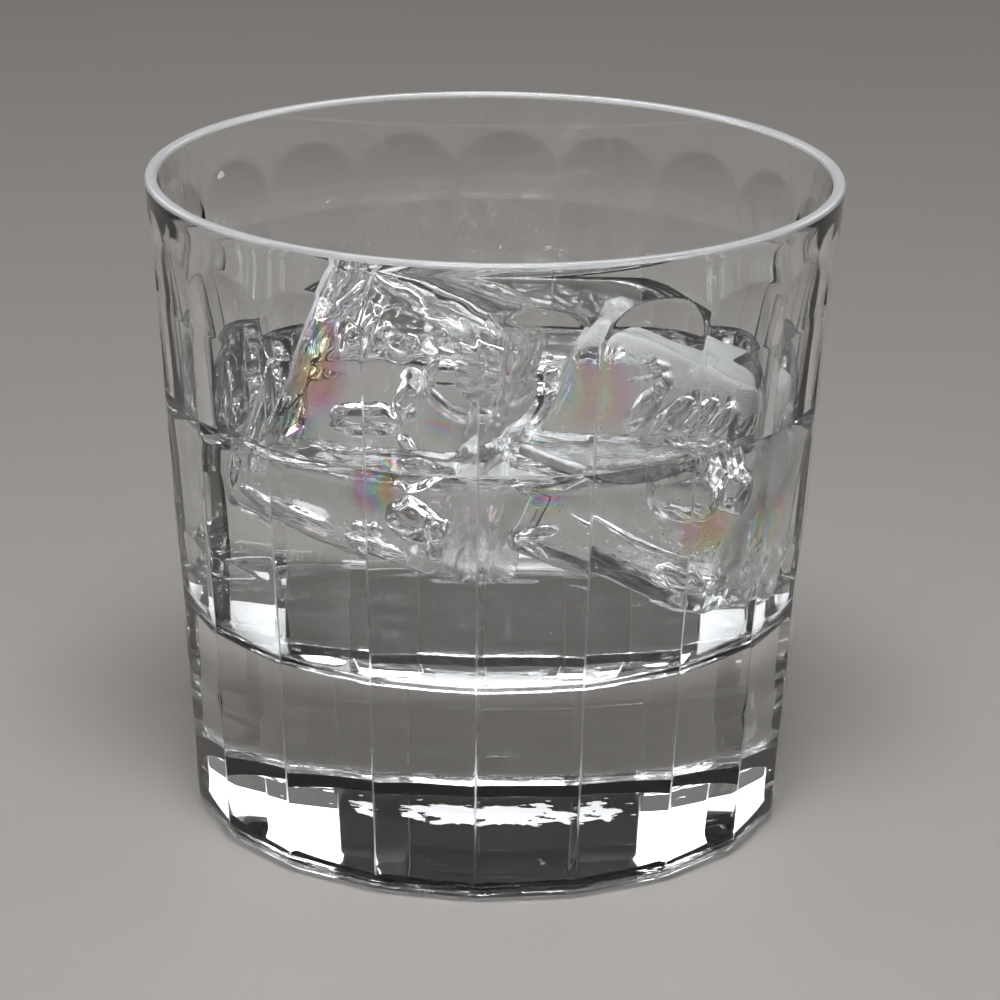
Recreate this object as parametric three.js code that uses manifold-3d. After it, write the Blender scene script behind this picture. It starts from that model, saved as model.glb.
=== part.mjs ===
// Glass of vodka: a panel-cut tumbler with a heavy foot, vodka and ice.
// Millimetres, +Z up. The origin is on the table at the middle of the foot,
// and the drinker's side, the front, looks along -Y.

import * as THREE from "three";
import { mergeVertices } from "three/addons/utils/BufferGeometryUtils.js";
import Module from "manifold-3d";

// Tumbler, outside
const HEIGHT = 83.5;
const MOUTH_RADIUS = 44;
const FOOT_RADIUS = 38.1; // the cone of the wall met at the table, before its corner is rounded
const FOOT_ROUNDING = 2.6;
const FOOT_STEPS = 3;
const WALL_SLOPE = (MOUTH_RADIUS - FOOT_RADIUS) / HEIGHT;

// Tumbler, inside
const LIP_THICKNESS = 1.6;
const LIP_ROUNDING = 0.65;
const LIP_STEPS = 2;
const CAVITY_FLOOR = 27; // height of the floor over the table: the foot is solid glass
const CAVITY_FILLET = 5.5;
const FILLET_STEPS = 4;
const FILLET_TOP = CAVITY_FLOOR + CAVITY_FILLET;
const CAVITY_RADIUS_LOW = 37.5; // at the top of the fillet
const FILLET_CENTRE = CAVITY_RADIUS_LOW - CAVITY_FILLET;
const CAVITY_RADIUS_HIGH = 41.7; // just under the lip
const CAVITY_HIGH = HEIGHT - 4;

// Underside: a flat ring round a shallow ground hollow
const HOLLOW_RADIUS = 27;
const HOLLOW_DEPTH = 0.7;
const HOLLOW_SHARES = [0, 0.6, 1]; // of its radius, where its profile has points

// Cut panels: flats in stacked tiers, with an arched top under a plain collar
const PANELS = 19;
const PANEL_PHASE = THREE.MathUtils.degToRad(-2.2); // a seam stands just left of the front
const ARCH_LOW = 68.8; // the last crease, where the arches stand
const ARCH_TOP = 78;
const TIER_HEIGHTS = [FOOT_ROUNDING, 19.8, 39.3, 54.5, ARCH_LOW]; // foot and creases
const TIER_STEPS = 3;
const ARCH_STEPS = 6;
const ARCH_DEEPEST = 5.5; // below the arch top, where the cut is as wide as the panel
const TIER_HOLLOW = 0.0008; // sagitta of a tier for each square millimetre of its height
const CREASE_LIFT = 0.14; // leaves a small diamond of the round wall at each seam
const PANEL_COLUMNS = 6;
const SEAM_CROWDING = 0.7; // how far the columns of a panel gather at its seams

// Drink
const LIQUID_LEVEL = 55.2;
const MENISCUS_RISE = 1.2;
const MENISCUS_WIDTH = 2.6;
const MENISCUS_BEND = { width: 0.35, rise: 0.3 }; // shares of both, from the wall and the level
const DRINK_COLUMNS = 3 * PANELS;
const CLEARANCE = 0.3; // between touching solids

// Ice: two moulded cubes, narrower at the top, and a thin chip awash at the surface
const CUBE_ROUNDING = 3.2;
const CUBE_CELLS = 8; // faces along each edge of a cube
const EDGE_CROWDING = Math.PI / 2.6; // of the sine that gathers a cube's rows at its edges
const ICE_LUMP = 0.35; // height of the melted unevenness
const WAVE_ACROSS = new THREE.Vector3(0.31, 0, 0.17); // radians for each millimetre
const WAVE_ALONG = new THREE.Vector3(0, 0.27, -0.21);
const WAVE_SLANTED = new THREE.Vector3(0, 0.38, 0.46);
const SLANTED_SHARE = 0.5;
const CUBES = [
  {
    name: "ice_cube_left",
    centre: [-11.2, -12.9, 55.5],
    turn: [-17.7, -15, 14], // yaw, pitch and roll in degrees
    height: 30,
    top: [22.8, 24.6],
    bottom: [29.4, 29],
    seed: 1.3,
  },
  {
    name: "ice_cube_right",
    centre: [18.9, -9.2, 49.6],
    turn: [-8, -12, 20.6],
    height: 28.6,
    top: [23, 24.4],
    bottom: [26.4, 28.6],
    seed: 4.1,
  },
];
const CHIP_OUTLINE = [
  [3.4, -26.2],
  [11, -34.2],
  [17, -33.2],
  [23.4, -28.8],
  [22.8, -26.6],
  [14, -25.4],
];
const CHIP_THICKNESS = 3.2;
const CHIP_FREEBOARD = 0.6; // above the liquid
const CHIP_BEVEL = 0.8;

// Tolerances of the mesh
const MERGE_DISTANCE = 1e-3;
const SEAM_TOLERANCE = 1e-6;

const GLASS_LOOK = { color: 0xeef3f4, roughness: 0.03, metalness: 0 };
const VODKA_LOOK = { color: 0xf4f8fa, roughness: 0.02, metalness: 0 };
const ICE_LOOK = { color: 0xe6eef2, roughness: 0.12, metalness: 0 };

const wasm = await Module();
wasm.setup();

// Radius of the uncut cone at a height.
function coneRadius(z) {
  return FOOT_RADIUS + WALL_SLOPE * z;
}

// Inside radius of the cavity wall above the fillet.
function cavityRadius(z) {
  const slope = (CAVITY_RADIUS_HIGH - CAVITY_RADIUS_LOW) / (CAVITY_HIGH - FILLET_TOP);
  return CAVITY_RADIUS_LOW + slope * (z - FILLET_TOP);
}

// Depth of a panel's middle below the uncut cone at a height.
function cutDepth(z) {
  const full = coneRadius(z) * (1 - Math.cos(Math.PI / PANELS));
  if (z >= ARCH_TOP) {
    return 0;
  }
  if (z >= ARCH_LOW) {
    return archDepth(ARCH_TOP - z, full);
  }
  const tier = TIER_HEIGHTS.findIndex((top, i) => i > 0 && z < top);
  const low = TIER_HEIGHTS[tier - 1];
  const high = TIER_HEIGHTS[tier];
  const hollow = 4 * TIER_HOLLOW * (z - low) * (high - z);
  return full - CREASE_LIFT + hollow;
}

// The run-out of the cut under the collar: a parabola that is full at ARCH_DEEPEST
// and back at the crease's depth where the arch tier ends.
function archDepth(down, full) {
  const end = ARCH_TOP - ARCH_LOW;
  const endDepth = full - CREASE_LIFT;
  const curve =
    (endDepth - (full * end) / ARCH_DEEPEST) / (end * (end - ARCH_DEEPEST));
  const slope = full / ARCH_DEEPEST - curve * ARCH_DEEPEST;
  return slope * down + curve * down * down;
}

// Radius of the cut wall at a height and at an angle from the panel's middle.
function wallRadius(z, angle) {
  const cone = coneRadius(z);
  return Math.min(cone, (cone - cutDepth(z)) / Math.cos(angle));
}

// Points of a quarter turn from angle a to b round a centre, as [radius, height].
function arc(radius, centreR, centreZ, a, b, steps) {
  const points = [];
  for (let i = 0; i <= steps; i++) {
    const t = THREE.MathUtils.degToRad(a + ((b - a) * i) / steps);
    points.push([
      centreR + radius * Math.cos(t),
      centreZ + radius * Math.sin(t),
    ]);
  }
  return points;
}

// Heights between two tier ends, both left out.
function between(low, high, steps) {
  const list = [];
  for (let i = 1; i < steps; i++) {
    list.push(low + ((high - low) * i) / steps);
  }
  return list;
}

// A closed profile turned round Z, with the seam of its faces at the first panel.
function turned(profile, columns) {
  const points = profile.map(([r, z]) => new THREE.Vector2(r, z));
  const geometry = new THREE.LatheGeometry(points, columns, PANEL_PHASE);
  geometry.rotateX(Math.PI / 2);
  return geometry;
}

// Geometry with only merged positions, as a solid for cutting.
function solidOf(geometry) {
  const bare = new THREE.BufferGeometry();
  bare.setAttribute("position", geometry.getAttribute("position"));
  bare.setIndex(geometry.getIndex());
  const merged = mergeVertices(bare, MERGE_DISTANCE);
  return new wasm.Manifold(
    new wasm.Mesh({
      numProp: 3,
      vertProperties: new Float32Array(merged.attributes.position.array),
      triVerts: new Uint32Array(merged.index.array),
    }),
  );
}

function geometryOf(solid) {
  const mesh = solid.getMesh();
  const geometry = new THREE.BufferGeometry();
  const positions = new THREE.BufferAttribute(mesh.vertProperties, 3);
  geometry.setAttribute("position", positions);
  geometry.setIndex(new THREE.BufferAttribute(mesh.triVerts, 1));
  geometry.computeVertexNormals();
  return geometry;
}

function named(name, geometry, look) {
  const mesh = new THREE.Mesh(geometry, new THREE.MeshStandardMaterial(look));
  mesh.name = name;
  return mesh;
}

// Underside, rounded foot corner and the outside of the wall up to the lip.
function outerProfile() {
  const footCentre = coneRadius(FOOT_ROUNDING) - FOOT_ROUNDING;
  const profile = [
    ...HOLLOW_SHARES.map((share) => [HOLLOW_RADIUS * share, HOLLOW_DEPTH * (1 - share ** 2)]),
    ...arc(FOOT_ROUNDING, footCentre, FOOT_ROUNDING, -90, 0, FOOT_STEPS),
  ];
  const heights = [];
  TIER_HEIGHTS.slice(1).forEach((top, i) => {
    heights.push(...between(TIER_HEIGHTS[i], top, TIER_STEPS), top);
  });
  heights.push(...between(ARCH_LOW, ARCH_TOP, ARCH_STEPS), ARCH_TOP);
  heights.forEach((z) => profile.push([coneRadius(z), z]));
  return profile;
}

// Rounded lip, the inside of the wall and the floor of the cavity.
function innerProfile() {
  const lipOut = MOUTH_RADIUS - LIP_ROUNDING;
  const lipIn = MOUTH_RADIUS - LIP_THICKNESS + LIP_ROUNDING;
  const lipHeight = HEIGHT - LIP_ROUNDING;
  return [
    ...arc(LIP_ROUNDING, lipOut, lipHeight, 0, 90, LIP_STEPS),
    ...arc(LIP_ROUNDING, lipIn, lipHeight, 90, 180, LIP_STEPS),
    [CAVITY_RADIUS_HIGH, CAVITY_HIGH],
    [cavityRadius(LIQUID_LEVEL), LIQUID_LEVEL],
    ...arc(CAVITY_FILLET, FILLET_CENTRE, FILLET_TOP, 0, -90, FILLET_STEPS),
    [0, CAVITY_FLOOR],
  ];
}

// Moves the columns of a turned body towards the seams, and cuts the rows of its
// outer wall, from profile point first to last, into panels.
function cutPanels(geometry, profileLength, first, last) {
  const position = geometry.getAttribute("position");
  const pitch = (2 * Math.PI) / PANELS;
  for (let i = 0; i < position.count; i++) {
    const x = position.getX(i);
    const y = position.getY(i);
    const z = position.getZ(i);
    const row = i % profileLength;
    const around = Math.atan2(x, -y) - PANEL_PHASE;
    const panel = Math.floor(around / pitch + SEAM_TOLERANCE);
    const share = (2 * (around - panel * pitch)) / pitch - 1;
    const size = Math.abs(share);
    const crowded = Math.sign(share) * size * (1 + SEAM_CROWDING * (1 - size));
    const angle = (crowded * pitch) / 2;
    const turn = PANEL_PHASE + (panel + 0.5) * pitch + angle;
    const wallZ = Math.max(z, FOOT_ROUNDING);
    const cut = coneRadius(wallZ) - wallRadius(wallZ, angle);
    const isWall = row >= first && row <= last;
    const radius = Math.hypot(x, y) - (isWall ? cut : 0);
    position.setXY(i, radius * Math.sin(turn), -radius * Math.cos(turn));
  }
  return geometry;
}

function tumbler() {
  const outer = outerProfile();
  const profile = [...outer, ...innerProfile()];
  const body = turned(profile, PANELS * PANEL_COLUMNS);
  cutPanels(body, profile.length, HOLLOW_SHARES.length, outer.length - 1);
  return named("glass_tumbler", body, GLASS_LOOK);
}

// A point of a block's surface, with the block's edges and corners rounded.
function rounded(p, half, radius) {
  const inner = half.clone().subScalar(radius);
  const core = p.clone().clamp(inner.clone().negate(), inner);
  const out = p.clone().sub(core);
  return core.add(out.normalize().multiplyScalar(radius));
}

// A cube of melting ice: a box with crowded edge rows, tapered, rounded and uneven.
function cubeGeometry(block, grow) {
  const geometry = new THREE.BoxGeometry(2, 2, 2, CUBE_CELLS, CUBE_CELLS, CUBE_CELLS);
  const position = geometry.getAttribute("position");
  const [yaw, pitch, roll] = block.turn.map(THREE.MathUtils.degToRad);
  const turn = new THREE.Euler(pitch, roll, yaw, "ZXY");
  const centre = new THREE.Vector3(...block.centre);
  const half = new THREE.Vector3(
    block.bottom[0] / 2,
    block.bottom[1] / 2,
    block.height / 2,
  );
  const p = new THREE.Vector3();
  for (let i = 0; i < position.count; i++) {
    const crowd = (share) => Math.sin(share * EDGE_CROWDING) / Math.sin(EDGE_CROWDING);
    p.set(crowd(position.getX(i)), crowd(position.getY(i)), crowd(position.getZ(i)));
    p.multiply(half);
    p.copy(rounded(p, half, CUBE_ROUNDING));
    const up = (p.z / half.z + 1) / 2;
    p.x *= 1 + up * (block.top[0] / block.bottom[0] - 1);
    p.y *= 1 + up * (block.top[1] / block.bottom[1] - 1);
    const out = p.clone().normalize();
    p.addScaledVector(out, grow + lump(p, block.seed));
    p.applyEuler(turn).add(centre);
    position.setXYZ(i, p.x, p.y, p.z);
  }
  return geometry;
}

// Smooth unevenness of a melting face.
function lump(p, seed) {
  const crossed = Math.sin(WAVE_ACROSS.dot(p) + seed) * Math.cos(WAVE_ALONG.dot(p) + 2 * seed);
  const slanted = Math.sin(WAVE_SLANTED.dot(p) + 3 * seed);
  return ICE_LUMP * (crossed + SLANTED_SHARE * slanted);
}

// A flat chip of ice: a bevelled plate that stands a little proud of the liquid.
function chipGeometry(grow) {
  const shape = new THREE.Shape(CHIP_OUTLINE.map(([x, y]) => new THREE.Vector2(x, y)));
  const geometry = new THREE.ExtrudeGeometry(shape, {
    depth: CHIP_THICKNESS - 2 * CHIP_BEVEL,
    bevelThickness: CHIP_BEVEL + grow,
    bevelSize: CHIP_BEVEL + grow,
    bevelOffset: -CHIP_BEVEL,
    bevelSegments: 2,
  });
  geometry.translate(0, 0, LIQUID_LEVEL + CHIP_FREEBOARD - CHIP_THICKNESS + CHIP_BEVEL);
  return geometry;
}

// Each piece of ice by name, grown on all sides for the hollow that it leaves.
function iceShapes(grow) {
  const shapes = CUBES.map((cube) => [cube.name, cubeGeometry(cube, grow)]);
  return [...shapes, ["ice_chip", chipGeometry(grow)]];
}

// The drink: the cavity up to its level, with the rim of the meniscus, cut round the ice.
function vodka() {
  const inside = (z) => cavityRadius(z) - CLEARANCE;
  const top = LIQUID_LEVEL + MENISCUS_RISE;
  const bendRadius = inside(top) - MENISCUS_WIDTH * MENISCUS_BEND.width;
  const profile = [
    [0, CAVITY_FLOOR + CLEARANCE],
    ...arc(CAVITY_FILLET - CLEARANCE, FILLET_CENTRE, FILLET_TOP, -90, 0, FILLET_STEPS),
    [inside(top), top],
    [bendRadius, LIQUID_LEVEL + MENISCUS_RISE * MENISCUS_BEND.rise],
    [inside(top) - MENISCUS_WIDTH, LIQUID_LEVEL],
    [0, LIQUID_LEVEL],
  ];
  let solid = solidOf(turned(profile, DRINK_COLUMNS));
  for (const [, shape] of iceShapes(CLEARANCE)) {
    solid = solid.subtract(solidOf(shape));
  }
  const body = solid.decompose().sort((a, b) => b.volume() - a.volume())[0];
  return named("vodka", geometryOf(body), VODKA_LOOK);
}

const drink = new THREE.Group();
drink.name = "glass_of_vodka";
drink.add(tumbler());
drink.add(vodka());
for (const [name, shape] of iceShapes(0)) {
  drink.add(named(name, shape, ICE_LOOK));
}

export default drink;
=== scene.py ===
"""Looks of a glass of vodka: a panel-cut tumbler, the drink and melting ice, on a pale floor.

Shapes are worked out in millimetres and become metres where a mesh is made. +Z is up,
and the camera looks along +Y from the drinker's side.
"""

import math
import random

import bmesh
import bpy
import numpy as np
from mathutils import Euler, Matrix, Vector, noise
from mathutils.bvhtree import BVHTree


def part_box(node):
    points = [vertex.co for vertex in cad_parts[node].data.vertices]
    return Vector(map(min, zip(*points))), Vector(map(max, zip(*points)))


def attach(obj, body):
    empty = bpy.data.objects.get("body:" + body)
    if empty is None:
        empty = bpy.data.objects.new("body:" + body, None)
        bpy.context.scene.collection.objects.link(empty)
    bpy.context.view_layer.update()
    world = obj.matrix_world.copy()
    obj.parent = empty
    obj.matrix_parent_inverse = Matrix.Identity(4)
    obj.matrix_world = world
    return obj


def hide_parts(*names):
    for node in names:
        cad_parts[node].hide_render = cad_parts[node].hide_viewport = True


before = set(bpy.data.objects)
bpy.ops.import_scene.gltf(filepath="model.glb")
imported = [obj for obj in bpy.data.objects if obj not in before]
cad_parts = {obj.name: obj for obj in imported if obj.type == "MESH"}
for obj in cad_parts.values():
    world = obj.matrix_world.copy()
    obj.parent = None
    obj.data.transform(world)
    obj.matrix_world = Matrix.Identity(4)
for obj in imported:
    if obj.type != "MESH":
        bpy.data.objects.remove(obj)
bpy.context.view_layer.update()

MM = 0.001

# Tumbler, outside
glass_low, glass_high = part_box("glass_tumbler")
HEIGHT = glass_high.z / MM
MOUTH_RADIUS = -glass_low.y / MM
FOOT_RADIUS = 38.1
FOOT_ROUNDING = 2.6
WALL_SLOPE = (MOUTH_RADIUS - FOOT_RADIUS) / HEIGHT
HOLLOW_RADIUS = 27
HOLLOW_DEPTH = 0.7

# Tumbler, inside
LIP_THICKNESS = 1.6
LIP_ROUNDING = 0.65
CAVITY_FLOOR = 27
CAVITY_FILLET = 5.5
CAVITY_RADIUS_LOW = 37.5
CAVITY_RADIUS_HIGH = 41.7
CAVITY_HIGH = HEIGHT - 4
FILLET_TOP = CAVITY_FLOOR + CAVITY_FILLET
FILLET_CENTRE = CAVITY_RADIUS_LOW - CAVITY_FILLET

# Cut panels
PANELS = 19
PITCH = 2 * math.pi / PANELS
PANEL_PHASE = math.radians(-2.2)
ARCH_LOW = 68.8
ARCH_TOP = 78
ARCH_DEEPEST = 5.5
TIER_HEIGHTS = (FOOT_ROUNDING, 19.8, 39.3, 54.5, ARCH_LOW)
TIER_HOLLOW = 0.0008
CREASE_LIFT = 0.14
SEAM_SOFTNESS = 0.05  # the most that polishing takes off an edge is a quarter of this
CREASE_SOFTNESS = 0.02
PANEL_COLUMNS = 28
SEAM_CROWDING = 0.85
TIER_ROWS = 16
CREASE_CROWDING = 0.9
ARCH_ROWS = 42
UNCUT_MARGIN = 0.4  # how far over the arches their close rows go on
UNCUT_ROWS = 6
HOLLOW_SHARES = np.linspace(0.1, 1, 8)
RING_SHARES = (0.35, 0.7)
FLOOR_SHARES = (0.8, 0.6, 0.4, 0.2, 0.05)
WALL_ROWS = 8
FOOT_STEPS = 10
LIP_STEPS = 7
FILLET_STEPS = 14

# Drink
LIQUID_LEVEL = 55.2
MENISCUS_RISE = 1.2
MENISCUS_REACHES = (1.4, 0.35)  # distances over which its two halves fall away
ICE_MENISCUS_RISE = 0.7
INTO_WALL = 0.2  # how far the drink reaches into the glass and the ice, so that no air gap shows
DRINK_COLUMNS = 240
SURFACE_RINGS = 80
SURFACE_CROWDING = 1.35
BOTTOM_SHARES = (0.05, 0.3, 0.6, 0.8)
BOTTOM_STEPS = 12
SIDE_ROWS = 10

# Ice
CUBE_ROUNDING = 2.3
CUBE_CELLS = 56
EDGE_CROWDING = math.pi / 2.6
ICE_LUMP = 0.35
WAVE_ACROSS = Vector((0.31, 0, 0.17))
WAVE_ALONG = Vector((0, 0.27, -0.21))
WAVE_SLANTED = Vector((0, 0.38, 0.46))
SLANTED_SHARE = 0.5
NOISE_STEPS = (17.0, 5.0, -11.0)  # how far a cube's seed of 1 moves the melting
DIMPLE_WIDTH = 5.5
DIMPLE_HEIGHT = 0.42
RIPPLE_WIDTH = 2.1
RIPPLE_HEIGHT = 0.10
CUBES = {
    "ice_cube_left": {
        "centre": (-10.95, -12.77, 56.25),
        "turn": (-17.7, -15, 14),  # yaw, pitch and roll in degrees
        "height": 31.6,
        "top": (22.8, 24.6),
        "bottom": (29.4, 29),
        "seed": 1.3,
    },
    "ice_cube_right": {
        "centre": (19.35, -9.2, 49.6),
        "turn": (-8, -12, 20.6),
        "height": 28.6,
        "top": (23, 24.4),
        "bottom": (26.4, 28.6),
        "seed": 4.1,
    },
}

# Air in the ice, in the cubes' own axes: middle, half lengths, turn in degrees and bend
VOIDS = {
    "ice_cube_left": [
        ((1.2, -10.2, 9.4), (1.8, 1.6, 1.8), (0, 0, 0), 0),
        ((0.9, -6.8, 9.0), (1.1, 1.0, 1.1), (0, 0, 0), 0),
        ((-0.9, -9.4, -1.4), (3.9, 2.0, 2.2), (0, -12, 0), -0.03),
        ((3.0, -9.8, 2.8), (2.3, 2.2, 3.2), (0, 8, 0), 0),
        ((-4.6, -5.4, 8.6), (2.0, 1.4, 2.9), (0, 12, 0), 0),
        ((-7.4, -9.8, 11.0), (3.9, 1.1, 1.0), (0, -52, 0), 0.06),
        ((5.2, -10.0, 12.0), (1.4, 1.3, 1.8), (0, 20, 0), 0),
        ((9.3, -8.6, 11.0), (2.1, 1.5, 1.4), (0, 18, 35), 0),
        ((10.0, -8.2, 7.7), (1.6, 1.4, 1.3), (0, 0, 35), 0),
        ((5.6, -10.2, 6.4), (1.0, 1.0, 2.5), (0, 6, 0), 0.05),
        ((8.3, -9.2, 3.9), (4.0, 1.2, 1.0), (0, 16, 12), 0.03),
        ((5.0, -10.8, -2.8), (1.8, 1.3, 1.0), (0, 20, 0), 0),
        ((0.2, -11.2, -7.0), (2.2, 1.2, 0.9), (0, -25, 0), 0.08),
        ((8.6, -9.0, -9.4), (3.8, 2.6, 2.8), (0, 10, 0), 0),
        ((4.3, -8.8, -12.4), (1.3, 1.2, 1.1), (0, 0, 0), 0),
        ((-5.0, -11.6, -13.9), (6.8, 1.3, 1.1), (0, 1, 0), 0.006),
        ((6.4, -11.0, -14.2), (3.6, 1.3, 0.9), (0, 2, 0), 0.01),
        ((12.2, -8.6, -11.0), (1.2, 1.4, 2.8), (0, 0, 20), 0),
        ((-9.6, -10.0, -8.0), (1.4, 1.3, 3.0), (0, 20, 0), 0),
    ],
    "ice_cube_right": [
        ((-1.0, -10.2, 10.8), (2.1, 1.6, 1.6), (0, 0, 0), 0),
        ((-2.1, -9.7, 6.2), (1.9, 1.7, 4.2), (0, 24, 0), 0),
        ((2.5, -9.7, 7.0), (1.8, 1.7, 4.6), (0, 30, 0), 0),
        ((6.5, -9.5, 8.4), (1.6, 1.6, 3.6), (0, 30, 0), 0),
        ((3.4, -9.2, -1.0), (4.6, 2.8, 3.6), (0, 0, 0), 0),
        ((9.0, -8.2, 1.2), (2.9, 2.8, 3.2), (0, -16, 0), 0),
        ((8.0, -10.2, -11.0), (3.2, 1.3, 1.5), (0, 8, 0), 0),
        ((-9.4, -11.8, -11.4), (3.0, 1.0, 1.1), (0, -38, 0), 0),
        ((-9.0, -11.8, -13.2), (2.6, 0.9, 0.7), (0, 14, 0), 0),
        ((2.0, -12.0, -8.4), (8.4, 0.9, 0.6), (0, 3, 0), 0.012),
    ],
}
VOID_UNEVENNESS = 0.16
VOID_WAVES = 1.6
VOID_STEPS = (7.3, 11)  # how far the next void and the cube's seed move that unevenness
VOID_CELLS = 4

# Fine bubbles: along lines with start, end, reach about the line and number, and under the faces
CLUSTERS = {
    "ice_cube_left": [
        ((-12.4, -12.4, -11.5), (9.0, -12.4, -14.4), 1.5, 210),
        ((8.0, -11.2, 13.0), (12.0, -8.0, 9.5), 1.5, 90),
        ((-9.5, -11.6, 14.0), (6.0, -11.6, 14.2), 0.8, 90),
    ],
    "ice_cube_right": [
        ((2.0, -12.6, -10.5), (11.0, -11.0, -6.0), 2.6, 190),
        ((3.0, -12.0, 4.0), (11.0, -11.0, 3.0), 1.6, 60),
    ],
}
CLUSTER_SIZES = (0.06, 0.2)
CLUSTER_SCATTER = 0.5
SPECKS = {  # number, smallest, largest
    "ice_cube_left": (150, 0.07, 0.17),
    "ice_cube_right": (260, 0.07, 0.18),
}
SPECK_DEPTH = 0.1  # least thickness of ice over a speck
SPECK_CELLS = 1
SPECK_LAYER = 0.84  # shares of the cube's half size
SPECK_LAYER_DEPTH = 0.08
SPECK_REACH = 0.95

# The chip, seen from above
CHIP_OUTLINE = [(3.4, -26.2), (11, -34.2), (17, -33.2), (23.4, -28.8), (22.8, -26.6), (14, -25.4)]
CHIP_LIFT = 0.7
CHIP_BEVEL = 0.8
CHIP_SWELL = 0.48
CHIP_RELIEF = 0.25
CHIP_RELIEF_WIDTH = 3.0
CHIP_CUTS = (3, 2)  # how finely its faces are split, before and after they become triangles

# Looks
GLASS_IOR = 1.52
DRINK_IOR = 1.36
ICE_IOR = 1.5
GLASS_COLOUR = (0.985, 0.992, 0.99)
DRINK_COLOUR = (0.995, 0.998, 1.0)
ICE_COLOUR = (0.985, 0.99, 0.995)
FLOOR_COLOURS = [(0.61, 0.575, 0.54), (0.65, 0.615, 0.58)]
FLOOR_ROUGHNESS = 0.5
FLOOR_HALF = 3000
CUT_SLOT, LIP_SLOT, FOOT_SLOT, UNDERSIDE_SLOT, INSIDE_SLOT = range(5)
FACING_UP = 0.9
LIP_CLEARNESS = 0.7
LIP_ROUGHNESS = (0.22, 0.36)
GROUND_EDGE = (0.483, 0.492)  # panels from a panel's middle, where grinding starts and is full
GROUND_ROUGHNESS = 0.28
GROUND_FADE = 4  # how far above and below the arches' foot it fades out
WORN_SHIFT = (-0.0005, -0.0115, 0)  # in metres, as are the next two
WORN_EDGE = (0.0190, 0.0182)
WORN_RAGGEDNESS = 0.022
WORN_ROUGHNESS = 0.5
FROST_RAGGEDNESS = 0.006  # in metres, as is the next
FROST_EDGE = 0.001
FROST_ROUGHNESS = 0.42
FADE_SHARE = 0.35  # share of its radius up to which a spot or line has its full strength
CHIP_EDGE_FACING = (-0.725, -0.689, 0)
CHIP_EDGE = (15.2, 15.6)  # how far out that way the bright edge starts and is full
CHIP_EDGE_CLEARNESS = 0.08
CHIP_PITS = (0.4, 0.7)  # height of the pitted pattern where it starts and ends to roughen
CHIP_ROUGHNESS = 0.3
# Painted rainbow fringes: colours painted into the ice where light split into colours would show
RAINBOW_TURNS = 4.5
RAINBOW = (
    (1.0, 0.22, 0.50),
    (1.0, 0.45, 0.14),
    (0.92, 0.85, 0.30),
    (0.30, 0.85, 0.48),
    (0.28, 0.62, 1.0),
    (0.62, 0.34, 1.0),
    (1.0, 0.22, 0.50),
)
PAINTED_RAINBOW_SPOTS = {  # middle, radius, strength of places with painted rainbow fringes
    "ice_cube_left": [
        ((-8.6, -12.8, 7.6), 4.2, 0.8),
        ((-7.4, -13.2, 1.6), 6.0, 1.0),
        ((-8.6, -13.2, -4.4), 4.4, 0.8),
        ((4.9, -14.2, -7.8), 3.0, 1.0),
        ((9.2, -12.0, 1.6), 3.4, 0.8),
    ],
    "ice_cube_right": [
        ((-8.3, -12.6, 6.1), 6.0, 0.6),
        ((-10.2, -13.4, -5.7), 4.0, 1.0),
        ((9.6, -12.6, -4.0), 4.8, 0.9),
        ((12.3, 1.9, -2.5), 6.0, 0.8),
    ],
}
FROST = {  # lines with start, end, radius
    "ice_cube_left": [
        ((12.5, -9.5, 12.6), (12.8, -9.0, 10.0), 2.0),
        ((-11.3, -11.9, 14.2), (-12.6, -12.7, 2.0), 1.3),
    ],
    "ice_cube_right": [
        ((11.0, -8.0, 11.0), (12.6, -2.0, 4.0), 5.0),
    ],
}
FROST_LEVEL = {"ice_cube_left": 30, "ice_cube_right": 11.5}  # the left one's is over its top
FROST_CLEARNESS = {"ice_cube_left": 0.9, "ice_cube_right": 0.82}

# Camera, fitted to the photo's rim, foot and panel seams
CAMERA_DISTANCE = 0.570
CLIP_START = 0.01
CAMERA_ELEVATION = math.radians(18.42)
CAMERA_ROLL = math.radians(0.68)
FOCAL_PIXELS = 4429.7
PICTURE_PIXELS = 1000
TARGET_PIXEL = (491.4, 486.5)  # where the middle of the glass falls in the picture
SENSOR_WIDTH = 36

# Light
LIGHT_COLOUR = (0.95, 0.97, 1.0)
WORLD_COLOUR = (1.0, 0.97, 0.94)
WORLD_RADIANCE = 0.175
DARK_RADIANCE = 0.015
DARK_ELEVATION = 22
DARK_EDGES = (17, 24)  # degrees from its middle, where the dark patch starts and ends to fade
OVERHEAD = (0, 66, 0.80, (0.34, 0.34), 11.0, 140)
LIGHTS = {  # azimuth, elevation, distance, size, radiance, spread, as for the one overhead
    "above_behind": (180, 60, 0.9, (0.8, 0.35), 11.0, 80),
    "back_left": (220, 26, 1.2, (0.72, 0.36), 4.5, 60),
    "back_right": (140, 26, 1.2, (0.72, 0.36), 4.5, 60),
    "strip_left": (-98, 32, 0.9, (0.09, 0.7), 22.0, 60),
    "strip_right": (98, 32, 0.9, (0.09, 0.7), 22.0, 60),
    "front_left": (-50, 40, 0.9, (0.12, 0.4), 12.0, 60),
}


# Shared shape functions


def soft_min(a, b, width):
    """The lower of two, with the corner between them rounded over a difference of width."""
    share = np.clip(0.5 + 0.5 * (b - a) / width, 0, 1)
    return b + (a - b) * share - width * share * (1 - share)


def soft_max(a, b, width):
    """The higher of two, with the corner between them rounded over a difference of width."""
    return -soft_min(-a, -b, width)


def crowd(share, crowding):
    """Moves a share from -1 to 1 towards its ends."""
    size = abs(share)
    return math.copysign(size * (1 + crowding * (1 - size)), share)


def arc(radius, centre_r, centre_z, start, end, steps):
    """Points of a round corner, as (radius, height)."""
    angles = np.radians(np.linspace(start, end, steps + 1))
    return [(centre_r + radius * math.cos(t), centre_z + radius * math.sin(t)) for t in angles]


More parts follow.
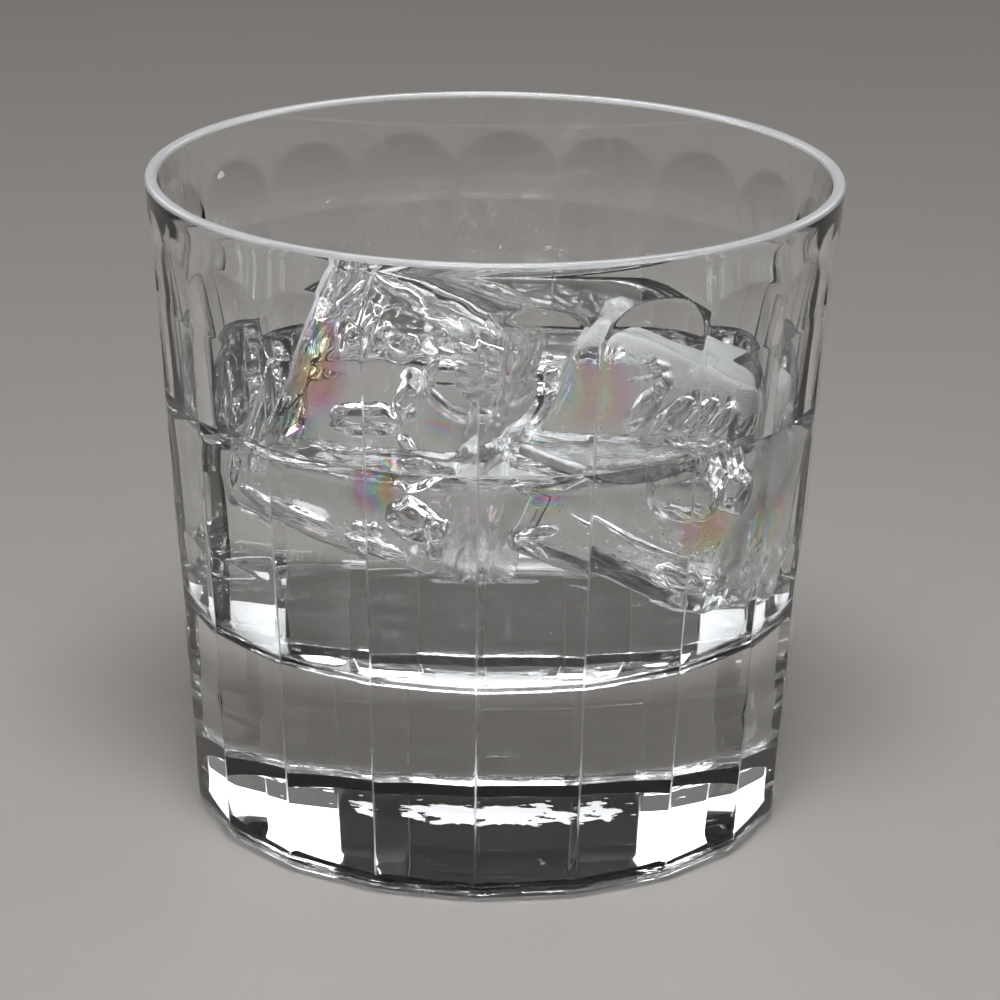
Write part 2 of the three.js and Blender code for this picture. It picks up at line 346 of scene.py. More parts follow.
def mesh_object(name, vertices, faces, smooth=True):
    """An object from vertices in millimetres."""
    mesh = bpy.data.meshes.new(name)
    mesh.from_pydata((np.asarray(vertices) * MM).tolist(), [], faces)
    mesh.validate()
    mesh.polygons.foreach_set("use_smooth", [smooth] * len(mesh.polygons))
    thing = bpy.data.objects.new(name, mesh)
    bpy.context.scene.collection.objects.link(thing)
    return thing


def smooth_object(name, shape):
    """An object from a bmesh in metres, which is used up."""
    mesh = bpy.data.meshes.new(name)
    shape.to_mesh(mesh)
    shape.free()
    mesh.polygons.foreach_set("use_smooth", [True] * len(mesh.polygons))
    thing = bpy.data.objects.new(name, mesh)
    bpy.context.scene.collection.objects.link(thing)
    return thing


def tree_of(thing):
    """A search tree of an object's mesh, in millimetres."""
    vertices = [thing.matrix_world @ v.co / MM for v in thing.data.vertices]
    return BVHTree.FromPolygons(vertices, [p.vertices[:] for p in thing.data.polygons])


def turned_grid(grid):
    """Vertices and faces of rings of (x, y, z), closed at the first and the last ring's middle."""
    rows, columns = grid.shape[:2]
    first = grid[0].mean(axis=0)
    last = grid[-1].mean(axis=0)
    vertices = np.vstack([first[None], grid.reshape(-1, 3), last[None]])
    faces = []
    end = len(vertices) - 1
    for column in range(columns):
        beside = (column + 1) % columns
        faces.append((0, 1 + beside, 1 + column))
        for row in range(rows - 1):
            low = 1 + row * columns
            high = low + columns
            faces.append((low + column, low + beside, high + beside, high + column))
        low = 1 + (rows - 1) * columns
        faces.append((low + column, low + beside, end))
    return vertices, faces


# Tumbler


def cone_radius(z):
    """Radius of the outside before the panels are cut."""
    return FOOT_RADIUS + WALL_SLOPE * z


def cavity_radius(z):
    """Radius of the inside, over the fillet at its floor."""
    slope = (CAVITY_RADIUS_HIGH - CAVITY_RADIUS_LOW) / (CAVITY_HIGH - FILLET_TOP)
    return CAVITY_RADIUS_LOW + slope * (z - FILLET_TOP)


def cut_depth(z):
    """Depth of a panel's middle below the uncut cone: hollow tiers, then an arch."""
    full = cone_radius(z) * (1 - math.cos(PITCH / 2))
    end = ARCH_TOP - ARCH_LOW
    end_depth = full - CREASE_LIFT
    curve = (end_depth - full * end / ARCH_DEEPEST) / (end * (end - ARCH_DEEPEST))
    slope = full / ARCH_DEEPEST - curve * ARCH_DEEPEST
    down = ARCH_TOP - z
    depth = slope * down + curve * down**2
    for low, high in zip(TIER_HEIGHTS[:-1], TIER_HEIGHTS[1:]):
        hollow = end_depth + 4 * TIER_HOLLOW * (z - low) * (high - z)
        depth = soft_max(depth, hollow, CREASE_SOFTNESS)
    return depth


def wall_radius(z, angle):
    """Radius of the cut wall at a height and at an angle from the panel's middle."""
    cone = cone_radius(z)
    flat = cone - cut_depth(z)
    own = flat / math.cos(angle)
    beside = flat / math.cos(PITCH - abs(angle))
    return soft_min(soft_min(own, beside, SEAM_SOFTNESS), cone, SEAM_SOFTNESS)


def tumbler_profile():
    """Rows of the tumbler from the middle of the underside to the middle of the cavity's floor.

    Each row is (radius, height, height at which the panel's cut is taken or None).
    """
    rows = []
    for share in HOLLOW_SHARES:
        rows.append((HOLLOW_RADIUS * share, HOLLOW_DEPTH * (1 - share**2), None))
    foot_centre = cone_radius(FOOT_ROUNDING) - FOOT_ROUNDING
    for share in RING_SHARES:
        rows.append((HOLLOW_RADIUS + share * (foot_centre - HOLLOW_RADIUS), 0, None))
    for radius, z in arc(FOOT_ROUNDING, foot_centre, FOOT_ROUNDING, -90, 0, FOOT_STEPS)[:-1]:
        rows.append((radius, z, FOOT_ROUNDING))
    heights = []
    for low, high in zip(TIER_HEIGHTS[:-1], TIER_HEIGHTS[1:]):
        for step in range(TIER_ROWS):
            share = crowd(2 * step / TIER_ROWS - 1, CREASE_CROWDING)
            heights.append(low + (high - low) * (1 + share) / 2)
    lip_height = HEIGHT - LIP_ROUNDING
    heights += list(np.linspace(ARCH_LOW, ARCH_TOP + UNCUT_MARGIN, ARCH_ROWS))
    heights += list(np.linspace(ARCH_TOP + UNCUT_MARGIN, lip_height, UNCUT_ROWS))[1:-1]
    rows += [(cone_radius(z), z, z) for z in heights]
    lip_out = MOUTH_RADIUS - LIP_ROUNDING
    lip_in = MOUTH_RADIUS - LIP_THICKNESS + LIP_ROUNDING
    inside = arc(LIP_ROUNDING, lip_out, lip_height, 0, 90, LIP_STEPS)
    inside += arc(LIP_ROUNDING, lip_in, lip_height, 90, 180, LIP_STEPS)
    inside += [(cavity_radius(z), z) for z in np.linspace(CAVITY_HIGH, FILLET_TOP, WALL_ROWS)[:-1]]
    inside += arc(CAVITY_FILLET, FILLET_CENTRE, FILLET_TOP, 0, -90, FILLET_STEPS)
    inside += [(FILLET_CENTRE * share, CAVITY_FLOOR) for share in FLOOR_SHARES]
    rows += [(radius, z, None) for radius, z in inside]
    return rows


def tumbler():
    """The tumbler, with close columns at the seams and close rows at the creases."""
    profile = tumbler_profile()
    shares = [crowd(2 * step / PANEL_COLUMNS - 1, SEAM_CROWDING) for step in range(PANEL_COLUMNS)]
    in_panel = np.array(shares) * PITCH / 2
    around = np.concatenate([PANEL_PHASE + (p + 0.5) * PITCH + in_panel for p in range(PANELS)])
    grid = np.zeros((len(profile), len(around), 3))
    for row, (radius, z, cut_height) in enumerate(profile):
        radii = np.full(PANEL_COLUMNS, radius, float)
        if cut_height is not None:
            cut = [wall_radius(cut_height, angle) for angle in in_panel]
            radii -= cone_radius(cut_height) - np.array(cut)
        radii = np.tile(radii, PANELS)
        grid[row, :, 0] = radii * np.sin(around)
        grid[row, :, 1] = -radii * np.cos(around)
        grid[row, :, 2] = z
    return mesh_object("tumbler", *turned_grid(grid))


def glass_slot(face):
    """The slot of the look that a face of the tumbler has."""
    if face.center.z > (HEIGHT - LIP_ROUNDING) * MM:
        return LIP_SLOT
    if face.center.z < FOOT_ROUNDING * MM:
        on_edge = face.center.xy.length > (FOOT_RADIUS - FOOT_ROUNDING) * MM
        return FOOT_SLOT if on_edge else UNDERSIDE_SLOT
    if face.normal.dot(face.center) < 0 or face.normal.z > FACING_UP:
        return INSIDE_SLOT
    return CUT_SLOT


# Ice


def block_place(block, unit):
    """The matrix that stands a block in the glass, in millimetres or, with unit MM, in metres."""
    yaw, pitch, roll = (math.radians(a) for a in block["turn"])
    turn = Matrix.Rotation(yaw, 3, "Z") @ Matrix.Rotation(pitch, 3, "X")
    turn = turn @ Matrix.Rotation(roll, 3, "Y")
    return Matrix.LocRotScale(Vector(block["centre"]) * unit, turn.to_quaternion(), None)


def lump(point, seed):
    """Smooth unevenness of a melting face, as on the solid."""
    crossed = math.sin(WAVE_ACROSS.dot(point) + seed) * math.cos(WAVE_ALONG.dot(point) + 2 * seed)
    slanted = math.sin(WAVE_SLANTED.dot(point) + 3 * seed)
    return ICE_LUMP * (crossed + SLANTED_SHARE * slanted)


def melt(point, seed):
    """Finer hollows and ripples that the melting leaves."""
    shift = Vector([seed * step for step in NOISE_STEPS])
    dimples = noise.noise((point + shift) / DIMPLE_WIDTH)
    ripples = noise.noise((point - shift) / RIPPLE_WIDTH)
    return DIMPLE_HEIGHT * dimples + RIPPLE_HEIGHT * ripples


def block_point(unit, block, grow):
    """A point of a cube of side 2 taken to the block's melted surface, in the block's own axes."""
    half = Vector((block["bottom"][0] / 2, block["bottom"][1] / 2, block["height"] / 2))
    crowded = [math.sin(share * EDGE_CROWDING) / math.sin(EDGE_CROWDING) for share in unit]
    point = Vector([share * size for share, size in zip(crowded, half)])
    inner = [size - CUBE_ROUNDING for size in half]
    core = Vector([min(max(p, -size), size) for p, size in zip(point, inner)])
    point = core + (point - core).normalized() * CUBE_ROUNDING
    up = (point.z / half.z + 1) / 2
    point.x *= 1 + up * (block["top"][0] / block["bottom"][0] - 1)
    point.y *= 1 + up * (block["top"][1] / block["bottom"][1] - 1)
    out = point.normalized()
    relief = lump(point, block["seed"]) + melt(point, block["seed"])
    return point + out * (grow + relief)


def block_mesh(name, block, grow=0.0):
    """A closed mesh of the ice block, grown on all sides by some millimetres."""
    shape = bmesh.new()
    bmesh.ops.create_cube(shape, size=2)
    bmesh.ops.subdivide_edges(shape, edges=shape.edges, cuts=CUBE_CELLS - 1, use_grid_fill=True)
    for vertex in shape.verts:
        vertex.co = block_point(vertex.co, block, grow) * MM
    thing = smooth_object(name, shape)
    thing.matrix_world = block_place(block, MM)
    return thing


def add_ball(shape, cells, moved):
    """Adds a ball of radius 1 to a bmesh, each vertex moved by a function."""
    made = bmesh.ops.create_icosphere(shape, subdivisions=cells, radius=1)
    for vertex in made["verts"]:
        vertex.co = moved(vertex.co) * MM


def air_mesh(name, block, voids, specks, clusters, ice):
    """The air frozen into a block: voids of uneven outline and many specks near its faces.

    Specks that wouldn't lie wholly within the ice object are left out.
    """
    shape = bmesh.new()
    skin = tree_of(ice)
    stood = block_place(block, 1)

    def add_speck(middle, size):
        place = stood @ middle
        near, out, _, away = skin.find_nearest(place)
        if (place - near).dot(out) < 0 and away > size + SPECK_DEPTH:
            add_ball(shape, SPECK_CELLS, lambda unit: unit * size + middle)

    for number, (middle, half, turn, bend) in enumerate(voids):
        turned = Euler([math.radians(a) for a in turn]).to_matrix()
        shift = Vector((number * VOID_STEPS[0], block["seed"] * VOID_STEPS[1], 0))

        def moved(unit):
            relief = 1 + VOID_UNEVENNESS * noise.noise(unit * VOID_WAVES + shift)
            point = Vector([u * size * relief for u, size in zip(unit, half)])
            point.z += bend * point.x**2
            return turned @ point + Vector(middle)

        add_ball(shape, VOID_CELLS, moved)
    draw = random.Random(int(block["seed"] * 10))
    count, smallest, largest = specks
    for _ in range(count):
        place = Vector([draw.uniform(-1, 1) for _ in range(3)])
        side = draw.randrange(3)
        layer = SPECK_LAYER + SPECK_LAYER_DEPTH * draw.random()
        place[side] = math.copysign(layer, place[side])
        size = draw.uniform(smallest, largest)
        half = Vector((block["top"][0] / 2, block["top"][1] / 2, block["height"] / 2))
        add_speck(Vector([p * h * SPECK_REACH for p, h in zip(place, half)]), size)
    for start, end, reach, count in clusters:
        for _ in range(count):
            middle = Vector(start).lerp(Vector(end), draw.random())
            middle += Vector([draw.gauss(0, CLUSTER_SCATTER) * reach for _ in range(3)])
            add_speck(middle, draw.triangular(*CLUSTER_SIZES, CLUSTER_SIZES[0]))
    thing = smooth_object(name, shape)
    thing.matrix_world = block_place(block, MM)
    return thing


def chip_mesh(name, grow=0.0):
    """The thin chip awash at the surface: the solid's plate, made finer and uneven."""
    low, high = (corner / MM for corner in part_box("ice_chip"))
    low.z += CHIP_LIFT
    high.z += CHIP_LIFT
    shape = bmesh.new()
    ring = [shape.verts.new((x, y, low.z + CHIP_BEVEL)) for x, y in CHIP_OUTLINE]
    face = shape.faces.new(ring)
    made = bmesh.ops.extrude_face_region(shape, geom=[face])
    lifted = [item for item in made["geom"] if isinstance(item, bmesh.types.BMVert)]
    bmesh.ops.translate(shape, verts=lifted, vec=(0, 0, high.z - low.z - 2 * CHIP_BEVEL))
    bmesh.ops.recalc_face_normals(shape, faces=shape.faces)
    bmesh.ops.subdivide_edges(shape, edges=shape.edges, cuts=CHIP_CUTS[0], use_grid_fill=True)
    bmesh.ops.triangulate(shape, faces=shape.faces)
    bmesh.ops.subdivide_edges(shape, edges=shape.edges, cuts=CHIP_CUTS[1], use_grid_fill=True)
    shape.normal_update()
    moves = []
    for vertex in shape.verts:
        relief = CHIP_RELIEF * noise.noise(vertex.co / CHIP_RELIEF_WIDTH)
        moves.append((vertex, vertex.normal * (CHIP_SWELL + grow + relief)))
    for vertex, move in moves:
        vertex.co = (vertex.co + move) * MM
    return smooth_object(name, shape)


# Drink


def rise(distance, height):
    """Height of the drink's edge at a distance from what it wets."""
    return height * sum(math.exp(-distance / reach) for reach in MENISCUS_REACHES) / 2


def surface_height(x, y, trees):
    """Height of the drink's surface, drawn up at the wall and round the ice."""
    at_wall = cavity_radius(LIQUID_LEVEL) - math.hypot(x, y)
    z = LIQUID_LEVEL + rise(max(at_wall, 0), MENISCUS_RISE)
    place = Vector((x, y, LIQUID_LEVEL))
    nearest = min(tree.find_nearest(place)[3] for tree in trees)
    return z + rise(nearest, ICE_MENISCUS_RISE)


def drink(ice):
    """The cavity filled to its level, a little into the wall, its surface drawn up round the ice.
    """
    trees = [tree_of(thing) for thing in ice]
    angles = np.arange(DRINK_COLUMNS) * 2 * math.pi / DRINK_COLUMNS
    top = LIQUID_LEVEL + MENISCUS_RISE
    profile = [(FILLET_CENTRE * share, CAVITY_FLOOR - INTO_WALL) for share in BOTTOM_SHARES]
    profile += arc(CAVITY_FILLET + INTO_WALL, FILLET_CENTRE, FILLET_TOP, -90, 0, BOTTOM_STEPS)
    for z in np.linspace(FILLET_TOP, top, SIDE_ROWS)[1:]:
        profile.append((cavity_radius(z) + INTO_WALL, z))
    rings = [[(r * math.cos(a), r * math.sin(a), z) for a in angles] for r, z in profile]
    edge = cavity_radius(top)
    for step in range(1, SURFACE_RINGS):
        share = step / SURFACE_RINGS
        radius = edge * (1 - share**SURFACE_CROWDING)
        ring = [(radius * math.cos(a), radius * math.sin(a)) for a in angles]
        rings.append([(x, y, surface_height(x, y, trees)) for x, y in ring])
    return mesh_object("drink", *turned_grid(np.array(rings)))


def cut(thing, cutters):
    """Takes each cutter's shape out of an object and deletes the cutter."""
    for cutter in cutters:
        modifier = thing.modifiers.new("cut", "BOOLEAN")
        modifier.operation = "DIFFERENCE"
        modifier.solver = "EXACT"
        modifier.object = cutter
    graph = bpy.context.evaluated_depsgraph_get()
    cut_mesh = bpy.data.meshes.new_from_object(thing.evaluated_get(graph))
    cut_mesh.validate()
    thing.modifiers.clear()
    thing.data = cut_mesh
    for cutter in cutters:
        bpy.data.objects.remove(cutter)
    cut_mesh.polygons.foreach_set("use_smooth", [True] * len(cut_mesh.polygons))
    return thing


# Materials


def node(tree, kind, inputs=None, **settings):
    """Adds a node. Each input is a value, or an output of another node to link."""
    made = tree.nodes.new(kind)
    for key, value in settings.items():
        setattr(made, key, value)
    for key, value in (inputs or {}).items():
        if isinstance(value, bpy.types.NodeSocket):
            tree.links.new(value, made.inputs[key])
        else:
            made.inputs[key].default_value = value
    return made


def calculated(tree, operation, *values):
    """The result of a Math node."""
    return node(tree, "ShaderNodeMath", dict(enumerate(values)), operation=operation).outputs[0]


def vector_node(tree, operation, first, second):
    """A node that works on two vectors."""
    return node(tree, "ShaderNodeVectorMath", {0: first, 1: second}, operation=operation)


def object_place(tree):
    """A surface point in its object's own coordinates, in metres."""
    return node(tree, "ShaderNodeTexCoord").outputs["Object"]


def ranged(tree, value, start, end, at_start=0.0, at_end=1.0, fade="LINEAR"):
    """A value from start to end taken to one from at_start to at_end, and held between them."""
    inputs = {
        "Value": value,
        "From Min": start,
        "From Max": end,
        "To Min": at_start,
        "To Max": at_end,
    }
    return node(tree, "ShaderNodeMapRange", inputs, interpolation_type=fade).outputs["Result"]


def pattern(tree, place, scale, detail=0.0, distortion=0.0):
    """A noise from 0 to 1, whose scale is in waves to the metre."""
    inputs = {"Vector": place, "Scale": scale, "Detail": detail, "Distortion": distortion}
    return node(tree, "ShaderNodeTexNoise", inputs).outputs["Fac"]


def bump(tree, height, distance, **inputs):
    """The normal of a surface that a pattern raises by up to a distance in metres."""
    made = node(tree, "ShaderNodeBump", {"Height": height, "Distance": distance, **inputs})
    return made.outputs["Normal"]


def colour_ramp(tree, value, colours):
    """A ramp of colours at equal steps."""
    ramp = node(tree, "ShaderNodeValToRGB", {"Fac": value})
    stops = ramp.color_ramp.elements
    while len(stops) < len(colours):
        stops.new(0.5)
    for number, colour in enumerate(colours):
        stops[number].position = number / (len(colours) - 1)
        stops[number].color = (*colour, 1)
    return ramp.outputs["Color"]


def new_material(name):
    """A material with its node tree and its Principled shader."""
    material = bpy.data.materials.new(name)
    material.use_nodes = True
    tree = material.node_tree
    return material, tree, tree.nodes["Principled BSDF"]


def clear_material(name, colour, ior):
    """A clear, smooth material, with its node tree, its shader and its object's own coordinates."""
    material, tree, shader = new_material(name)
    shader.inputs["Base Color"].default_value = (*colour, 1)
    shader.inputs["Roughness"].default_value = 0
    shader.inputs["IOR"].default_value = ior
    shader.inputs["Transmission Weight"].default_value = 1
    return material, tree, shader, object_place(tree)


def glass_material(name):
    """Clear polished glass, very slightly uneven."""
    material, tree, shader, place = clear_material(name, GLASS_COLOUR, GLASS_IOR)
    tree.links.new(bump(tree, pattern(tree, place, scale=80), 0.00003), shader.inputs["Normal"])
    return material, tree, shader, place


def cut_material():
    """The cut wall, with a trace of the grinding left along the edges between its panels."""
    material, tree, shader, place = glass_material("cut_glass")
    parts = node(tree, "ShaderNodeSeparateXYZ", {"Vector": place}).outputs
    front = calculated(tree, "MULTIPLY", parts["Y"], -1.0)
    around = calculated(tree, "ARCTAN2", parts["X"], front)
    panels = calculated(tree, "MULTIPLY_ADD", around, 1 / PITCH, PANELS - PANEL_PHASE / PITCH)
    aside = calculated(tree, "SUBTRACT", calculated(tree, "FRACT", panels), 0.5)
    from_middle = calculated(tree, "ABSOLUTE", aside)
    seam = ranged(tree, from_middle, *GROUND_EDGE, at_end=GROUND_ROUGHNESS)
    highest = (ARCH_LOW + GROUND_FADE) * MM
    below = ranged(tree, parts["Z"], highest, (ARCH_LOW - GROUND_FADE) * MM)
    tree.links.new(calculated(tree, "MULTIPLY", seam, below), shader.inputs["Roughness"])
    return material


def lip_material():
    """The fired lip, which scatters a little."""
    material, tree, shader, place = glass_material("fired_lip")
    shader.inputs["Transmission Weight"].default_value = LIP_CLEARNESS
    rough = ranged(tree, pattern(tree, place, scale=60, detail=1), 0, 1, *LIP_ROUGHNESS)
    tree.links.new(rough, shader.inputs["Roughness"])
    return material


def foot_material():
    """The rounded edge of the foot, finely streaked."""
    material, tree, shader, place = clear_material("streaked_foot", GLASS_COLOUR, GLASS_IOR)
    flattened = node(tree, "ShaderNodeMapping", {"Vector": place, "Scale": (1, 1, 9)})
    streaks = pattern(tree, flattened.outputs["Vector"], scale=190, detail=2)
    tree.links.new(bump(tree, streaks, 0.00016), shader.inputs["Normal"])
    return material


def hollow_material():
    """The underside, worn dull in a ragged patch of its hollow."""
    material, tree, shader, place = glass_material("worn_underside")
    patch = node(tree, "ShaderNodeMapping", {"Vector": place, "Location": WORN_SHIFT})
    length = node(tree, "ShaderNodeVectorMath", {0: patch.outputs["Vector"]}, operation="LENGTH")
    cloud = pattern(tree, place, scale=330, detail=4)
    reach = length.outputs["Value"]
    ragged = calculated(tree, "MULTIPLY_ADD", cloud, WORN_RAGGEDNESS, reach)
    worn = ranged(tree, ragged, *WORN_EDGE, at_end=WORN_ROUGHNESS)
    tree.links.new(worn, shader.inputs["Roughness"])
    return material


def drink_material():
    """The clear drink, whose surface is very slightly uneven."""
    material, tree, shader, place = clear_material("clear_drink", DRINK_COLOUR, DRINK_IOR)
    tree.links.new(bump(tree, pattern(tree, place, scale=50), 0.000005), shader.inputs["Normal"])
    return material


def chip_material():
    """The thin chip: a pitted top, and a bright broken edge at its front left."""
    material, tree, shader, place = clear_material("chip_ice", ICE_COLOUR, ICE_IOR)
    along = vector_node(tree, "DOT_PRODUCT", place, CHIP_EDGE_FACING).outputs["Value"]
    edge = ranged(tree, along, CHIP_EDGE[0] * MM, CHIP_EDGE[1] * MM)
    clear = ranged(tree, edge, 0, 1, at_start=1, at_end=CHIP_EDGE_CLEARNESS)
    tree.links.new(clear, shader.inputs["Transmission Weight"])
    pits = pattern(tree, place, scale=1500, detail=2)
    rough = ranged(tree, pits, *CHIP_PITS, at_end=CHIP_ROUGHNESS)
    tree.links.new(rough, shader.inputs["Roughness"])
    tree.links.new(bump(tree, pits, 0.0002), shader.inputs["Normal"])
    return material


def fading(tree, distance, radius, strength=1.0):
    """Strength at no distance, falling to 0 at a radius in millimetres."""
    return ranged(tree, distance, radius * MM, radius * MM * FADE_SHARE, 0, strength, "SMOOTHSTEP")


def near(tree, place, middle, radius, strength):
    """Strength at a point of the object, in millimetres, falling to 0 at a radius from it."""
    away = vector_node(tree, "DISTANCE", place, tuple(Vector(middle) * MM)).outputs["Value"]
    return fading(tree, away, radius, strength)


def near_line(tree, place, start, end, radius):
    """1 along a line between two points, in millimetres, falling to 0 at a radius from it."""
    start = Vector(start) * MM
    line = Vector(end) * MM - start
    from_start = vector_node(tree, "SUBTRACT", place, tuple(start)).outputs[0]
    unit_line = tuple(line / line.length_squared)
    along = vector_node(tree, "DOT_PRODUCT", from_start, unit_line).outputs["Value"]
    share = node(tree, "ShaderNodeClamp", {"Value": along}).outputs[0]
    scaled = {0: tuple(line), "Scale": share}
    foot = node(tree, "ShaderNodeVectorMath", scaled, operation="SCALE").outputs[0]
    away = vector_node(tree, "DISTANCE", from_start, foot).outputs["Value"]
    return fading(tree, away, radius)


def greatest(tree, values):
    """The greatest of several outputs."""
    result = values[0]
    for value in values[1:]:
        result = calculated(tree, "MAXIMUM", result, value)
    return result


def ice_material(name, painted_rainbow_spots, frost, frost_level, clearness):
    """Clear ice with frosted places and painted rainbow fringes, which are colour painted into the
    ice where light split into colours would show.

    painted_rainbow_spots are (middle, radius, strength) of the places painted with these fringes,
    and frost is (start, end, radius) of frosted lines. Above frost_level, in millimetres of the
    block's own height, it is frosted all over, and clearness is the share of light that frosted ice
    still lets through.
    """
    material, tree, shader, place = clear_material(name, ICE_COLOUR, ICE_IOR)

    height = node(tree, "ShaderNodeSeparateXYZ", {"Vector": place}).outputs["Z"]
    patches = pattern(tree, place, scale=230, detail=2)
    ragged = calculated(tree, "MULTIPLY_ADD", patches, FROST_RAGGEDNESS, height)
    middle = frost_level * MM + FROST_RAGGEDNESS / 2
    top = ranged(tree, ragged, middle - FROST_EDGE / 2, middle + FROST_EDGE / 2)
    frosted = greatest(tree, [top] + [near_line(tree, place, *line) for line in frost])
    rough = calculated(tree, "MULTIPLY", frosted, FROST_ROUGHNESS)
    tree.links.new(rough, shader.inputs["Roughness"])
    clear = ranged(tree, frosted, 0, 1, at_start=1, at_end=clearness)
    tree.links.new(clear, shader.inputs["Transmission Weight"])

    # painted rainbow fringes: light split into colours, painted into the ice's base colour
    painted_rainbow_share = greatest(tree, [near(tree, place, *spot) for spot in painted_rainbow_spots])
    swirl = pattern(tree, place, scale=95, distortion=0.6)
    bands = calculated(tree, "MULTIPLY", swirl, RAINBOW_TURNS)
    rainbow = colour_ramp(tree, calculated(tree, "FRACT", bands), RAINBOW)
    mixed = {"Factor": painted_rainbow_share, 6: (*ICE_COLOUR, 1), 7: rainbow}
    painted_rainbow_colour = node(tree, "ShaderNodeMix", mixed, data_type="RGBA").outputs[2]
    tree.links.new(painted_rainbow_colour, shader.inputs["Base Color"])

    rippled = bump(tree, pattern(tree, place, scale=420), 0.00007)
    grain = pattern(tree, place, scale=2600)
    grainy = bump(tree, grain, 0.00012, Strength=frosted, Normal=rippled)
    tree.links.new(grainy, shader.inputs["Normal"])
    return material


def air_material():
    """The wall of a void, where light leaves the ice for air."""
    material, tree, principled = new_material("air_in_ice")
    tree.nodes.remove(principled)
    inputs = {"Color": (1, 1, 1, 1), "Roughness": 0, "IOR": 1 / ICE_IOR}
    shader = node(tree, "ShaderNodeBsdfGlass", inputs)
    tree.links.new(shader.outputs["BSDF"], tree.nodes["Material Output"].inputs["Surface"])
    return material


def floor_material():
    """A pale floor with a faint cloudiness."""
    material, tree, shader = new_material("pale_floor")
    shader.inputs["Roughness"].default_value = FLOOR_ROUGHNESS
    cloudy = colour_ramp(tree, pattern(tree, object_place(tree), scale=9, detail=2), FLOOR_COLOURS)
    tree.links.new(cloudy, shader.inputs["Base Color"])
    return material


# Stage


def camera():
    """The photo's camera: it faces the middle of the glass, a little off the picture's middle."""
    elevation = CAMERA_ELEVATION
    target = Vector((0, 0, HEIGHT * MM / 2))
    forward = Vector((0, math.cos(elevation), -math.sin(elevation)))
    right = Vector((1, 0, 0))
    up = right.cross(forward)
    aside = math.atan((TARGET_PIXEL[0] - PICTURE_PIXELS / 2) / FOCAL_PIXELS)
    below = math.atan((TARGET_PIXEL[1] - PICTURE_PIXELS / 2) / FOCAL_PIXELS)
    across = right * math.cos(aside) + forward * math.sin(aside)
    ahead = forward * math.cos(aside) - right * math.sin(aside)
    upright = up * math.cos(below) - ahead * math.sin(below)
    axis = up * math.sin(below) + ahead * math.cos(below)
    x_axis = across * math.cos(CAMERA_ROLL) + upright * math.sin(CAMERA_ROLL)
    y_axis = upright * math.cos(CAMERA_ROLL) - across * math.sin(CAMERA_ROLL)
    data = bpy.data.cameras.new("camera")
    data.sensor_width = SENSOR_WIDTH
    data.lens = FOCAL_PIXELS / PICTURE_PIXELS * SENSOR_WIDTH
    data.clip_start = CLIP_START
    thing = bpy.data.objects.new("camera", data)
    turn = Matrix((x_axis, y_axis, -axis)).transposed()
    thing.matrix_world = Matrix.LocRotScale(target - forward * CAMERA_DISTANCE, turn, None)
    bpy.context.scene.collection.objects.link(thing)
    bpy.context.scene.camera = thing


def floor():
    """The floor that the glass stands on."""
    corners = [(x * FLOOR_HALF, y * FLOOR_HALF, 0) for x, y in ((-1, -1), (1, -1), (1, 1), (-1, 1))]
    thing = mesh_object("floor", corners, [(0, 1, 2, 3)], smooth=False)
    thing.data.materials.append(floor_material())


def softbox(name, azimuth, elevation, distance, size, radiance, spread, lit=None):
    """A rectangular soft light that faces the glass. Azimuth 0 is the camera's side, 90 the right.

    Its size is width and height in metres, and its power follows from how bright it looks.
    The spread in degrees keeps its light off the floor beside it, as a grid does, and with a
    collection given it lights that alone.
    """
    data = bpy.data.lights.new(name, "AREA")
    data.shape = "RECTANGLE"
    data.size, data.size_y = size
    half_spread = math.radians(spread) / 2
    narrowing = 1 - half_spread / math.tan(half_spread)
    data.energy = radiance * math.pi * size[0] * size[1] * narrowing
    data.spread = math.radians(spread)
    data.color = LIGHT_COLOUR
    thing = bpy.data.objects.new(name, data)
    a, e = math.radians(azimuth), math.radians(elevation)
    back = Vector((math.sin(a) * math.cos(e), -math.cos(a) * math.cos(e), math.sin(e)))
    thing.location = back * distance + Vector((0, 0, HEIGHT * MM / 2))
    thing.rotation_mode = "QUATERNION"
    thing.rotation_quaternion = back.to_track_quat("Z", "Y")
    bpy.context.scene.collection.objects.link(thing)
    if lit:
        thing.light_linking.receiver_collection = lit


def studio_world():
    """Even dim surroundings, with a dark patch low behind the glass."""
    world = bpy.data.worlds.new("studio")
    world.use_nodes = True
    bpy.context.scene.world = world
    tree = world.node_tree
    way = node(tree, "ShaderNodeTexCoord").outputs["Generated"]
    elevation = math.radians(DARK_ELEVATION)
    behind = (0, math.cos(elevation), math.sin(elevation))
    facing = vector_node(tree, "DOT_PRODUCT", way, behind).outputs["Value"]
    edges = [math.cos(math.radians(angle)) for angle in DARK_EDGES]
    background = tree.nodes["Background"]
    bright = ranged(tree, facing, *edges, at_start=DARK_RADIANCE, at_end=WORLD_RADIANCE)
    tree.links.new(bright, background.inputs["Strength"])
    background.inputs["Color"].default_value = (*WORLD_COLOUR, 1)


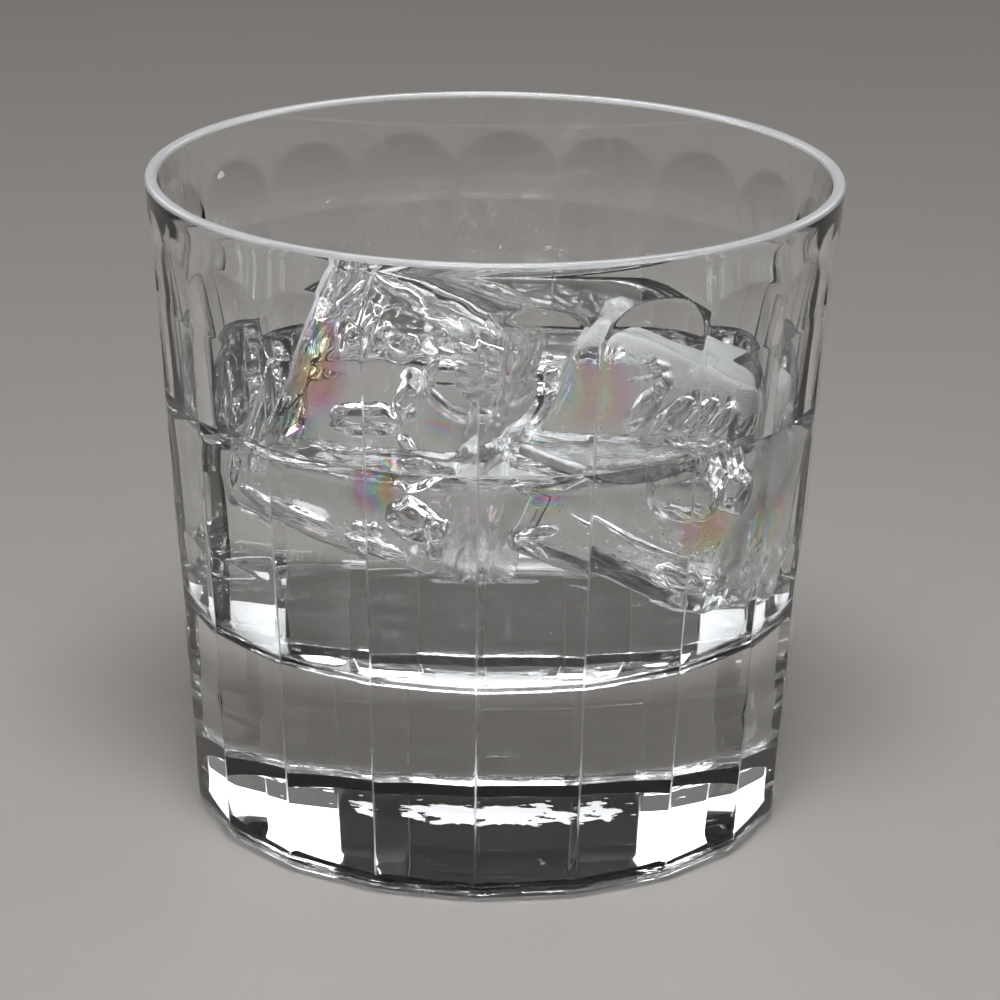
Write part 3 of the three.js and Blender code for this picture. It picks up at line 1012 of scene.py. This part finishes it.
def lighting(glassware):
    """Soft light from overhead for all, and softboxes that gleam in the glass and the ice alone."""
    studio_world()
    lit = bpy.data.collections.new("glassware")
    for thing in glassware:
        lit.objects.link(thing)
    softbox("overhead", *OVERHEAD)
    for name, setting in LIGHTS.items():
        softbox(name, *setting, lit)


def render_settings():
    """Light paths long enough for rays that pass glass, drink, ice and bubbles."""
    cycles = bpy.context.scene.cycles
    cycles.max_bounces = 18
    cycles.transmission_bounces = 18
    cycles.glossy_bounces = 5
    cycles.diffuse_bounces = 2
    cycles.use_light_tree = False
    cycles.caustics_reflective = False
    cycles.use_denoising = True
    bpy.context.scene.view_settings.view_transform = "Standard"


# The object

glass_looks = [
    cut_material(),
    lip_material(),
    foot_material(),
    hollow_material(),
    clear_material("smooth_inside", GLASS_COLOUR, GLASS_IOR)[0],
]  # in the order of the slots
drink_look = drink_material()
chip_look = chip_material()
air_look = air_material()

glass = tumbler()
for look in glass_looks:
    glass.data.materials.append(look)
for face in glass.data.polygons:
    face.material_index = glass_slot(face)
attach(glass, "root")
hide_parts("glass_tumbler")

glassware = [glass]
cubes = []
for cube_name, block in CUBES.items():
    cube = block_mesh(f"melting_{cube_name}", block)
    look = ice_material(
        f"look_of_{cube_name}",
        PAINTED_RAINBOW_SPOTS[cube_name],
        FROST[cube_name],
        FROST_LEVEL[cube_name],
        FROST_CLEARNESS[cube_name],
    )
    cube.data.materials.append(look)
    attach(cube, "root")
    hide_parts(cube_name)
    cubes.append(cube)
    air = air_mesh(
        f"air_in_{cube_name}",
        block,
        VOIDS[cube_name],
        SPECKS[cube_name],
        CLUSTERS[cube_name],
        cube,
    )
    air.data.materials.append(air_look)
    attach(air, "root")
    glassware += [cube, air]

chip = chip_mesh("melting_ice_chip")
chip.data.materials.append(chip_look)
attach(chip, "root")
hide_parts("ice_chip")
glassware.append(chip)

hollows = [block_mesh(f"hollow_{name}", block, -INTO_WALL) for name, block in CUBES.items()]
hollows.append(chip_mesh("hollow_chip", -INTO_WALL))
vodka = cut(drink([*cubes, chip]), hollows)
vodka.data.materials.clear()
vodka.data.materials.append(drink_look)
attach(vodka, "root")
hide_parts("vodka")
glassware.append(vodka)

camera()
floor()
lighting(glassware)
render_settings()
